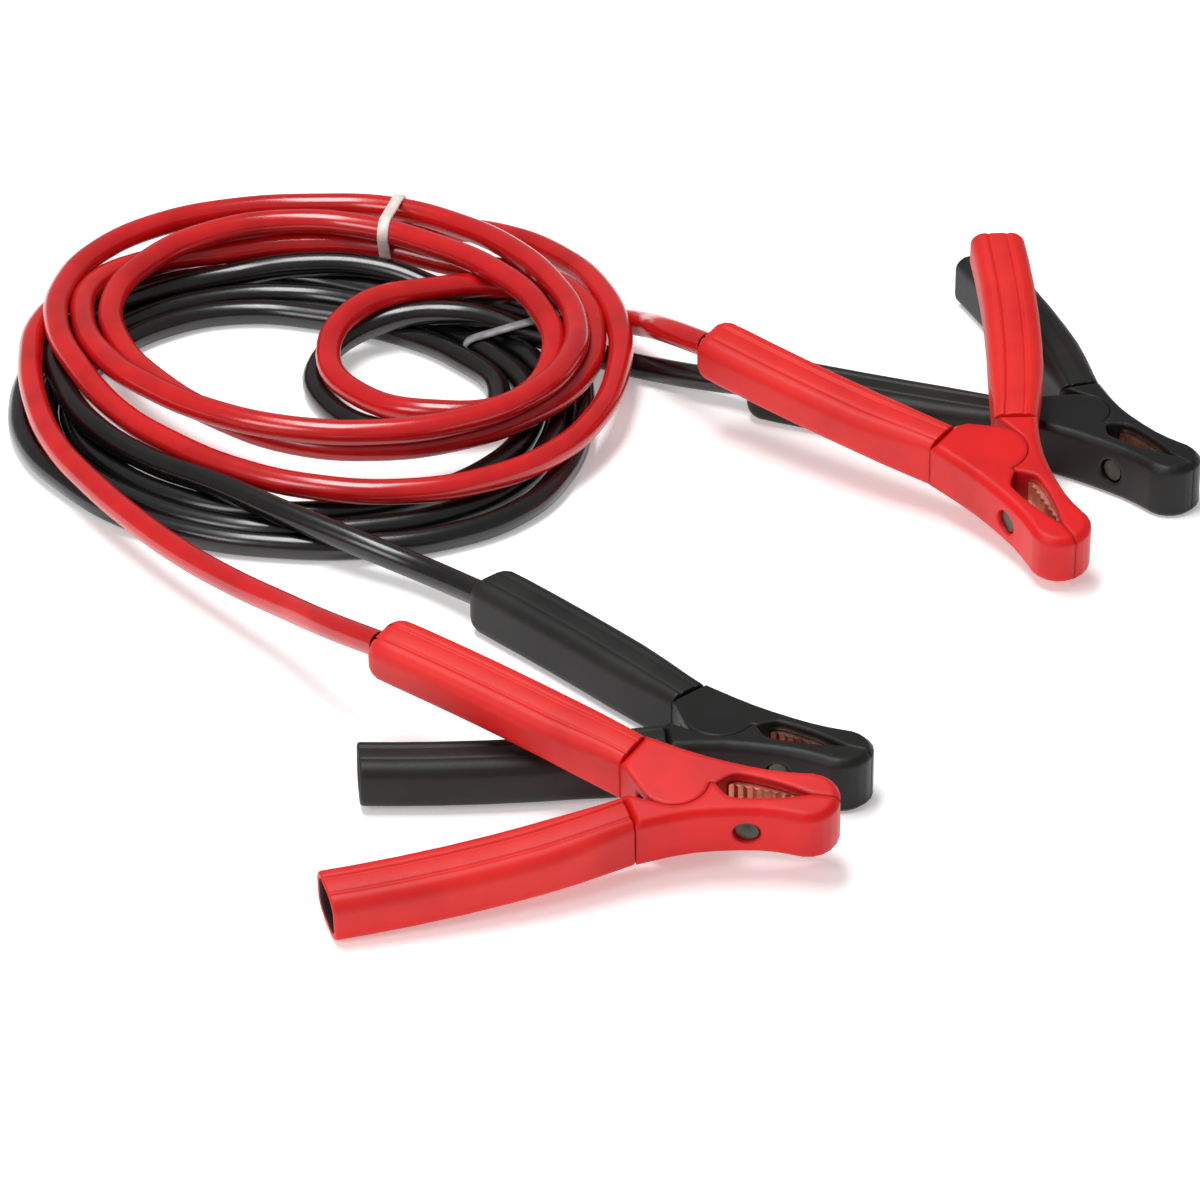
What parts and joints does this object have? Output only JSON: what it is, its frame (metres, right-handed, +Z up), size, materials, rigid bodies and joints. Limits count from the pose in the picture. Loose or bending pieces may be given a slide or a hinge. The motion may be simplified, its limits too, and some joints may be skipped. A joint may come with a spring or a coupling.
{
  "type": "car jumper cable set",
  "caption": "Car jumper cables: a red and a black lead, coiled and tied one on the other, with spring clamps with long handles and copper-lined jaws on their ends.",
  "frame": {"origin": "on the floor, under the middle of the box round the four clamps", "axes": "+Z up, +Y from the front pair of clamps to the back pair, +X to the right seen from the front"},
  "size_m": [0.4279, 0.4605, 0.0542],
  "materials": {
    "red_jaw": "satin moulded plastic",
    "red_grip": "soft satin sleeve",
    "red_cable": "glossy insulation",
    "black_jaw": "satin moulded plastic",
    "black_grip": "soft satin sleeve",
    "black_cable": "glossy insulation",
    "copper": "copper-plated, slightly dull",
    "steel": "plain steel",
    "nylon": "pale translucent tie"
  },
  "bodies": {
    "leads": {"front_red_cable_jaw": "red_jaw", "front_red_cable_grip": "red_grip", "front_red_cable_plate": "copper", "front_red_cable_screw": "steel", "front_red_pivot_pin": "steel", "front_red_spring": "steel", "front_black_cable_jaw": "black_jaw", "front_black_cable_grip": "black_grip", "front_black_cable_plate": "copper", "front_black_cable_screw": "steel", "front_black_pivot_pin": "steel", "front_black_spring": "steel", "back_red_cable_jaw": "red_jaw", "back_red_cable_grip": "red_grip", "back_red_cable_plate": "copper", "back_red_cable_screw": "steel", "back_red_pivot_pin": "steel", "back_red_spring": "steel", "back_black_cable_jaw": "black_jaw", "back_black_cable_grip": "black_grip", "back_black_cable_plate": "copper", "back_black_cable_screw": "steel", "back_black_pivot_pin": "steel", "back_black_spring": "steel", "red_coil": "red_cable", "black_coil": "black_cable", "red_cable_front": "red_cable", "red_cable_back": "red_cable", "red_cable_loop": "red_cable", "black_cable_front": "black_cable", "black_cable_back": "black_cable", "black_cable_loop": "black_cable", "red_tie": "nylon", "black_tie": "nylon"},
    "front_red_free_half": {"front_red_free_jaw": "red_jaw", "front_red_free_grip": "red_grip", "front_red_free_plate": "copper", "front_red_free_screw": "steel"},
    "front_black_free_half": {"front_black_free_jaw": "black_jaw", "front_black_free_grip": "black_grip", "front_black_free_plate": "copper", "front_black_free_screw": "steel"},
    "back_red_free_half": {"back_red_free_jaw": "red_jaw", "back_red_free_grip": "red_grip", "back_red_free_plate": "copper", "back_red_free_screw": "steel"},
    "back_black_free_half": {"back_black_free_jaw": "black_jaw", "back_black_free_grip": "black_grip", "back_black_free_plate": "copper", "back_black_free_screw": "steel"}
  },
  "joints": [
    {"name": "front_red_hinge", "type": "hinge", "parent": "leads", "child": "front_red_free_half", "pos_m": [-0.03713, -0.16063, 0.0221], "axis": [0.014, 0.2258, -0.9741], "range_deg": [0, 32], "stiffness_Nm_per_rad": 1.5, "springref_deg": -22.92},
    {"name": "front_black_hinge", "type": "hinge", "parent": "leads", "child": "front_black_free_half", "pos_m": [-0.02193, -0.10833, 0.0102], "axis": [0, 0, -1], "range_deg": [0, 32], "stiffness_Nm_per_rad": 1.5, "springref_deg": -22.92},
    {"name": "back_red_hinge", "type": "hinge", "parent": "leads", "child": "back_red_free_half", "pos_m": [0.07767, 0.04907, 0.0223], "axis": [-0.0118, -0.1942, 0.9809], "range_deg": [0, 32], "stiffness_Nm_per_rad": 1.5, "springref_deg": -22.92},
    {"name": "back_black_hinge", "type": "hinge", "parent": "leads", "child": "back_black_free_half", "pos_m": [0.10987, 0.09397, 0.0102], "axis": [0, 0, 1], "range_deg": [0, 32], "stiffness_Nm_per_rad": 1.5, "springref_deg": -22.92}
  ]
}
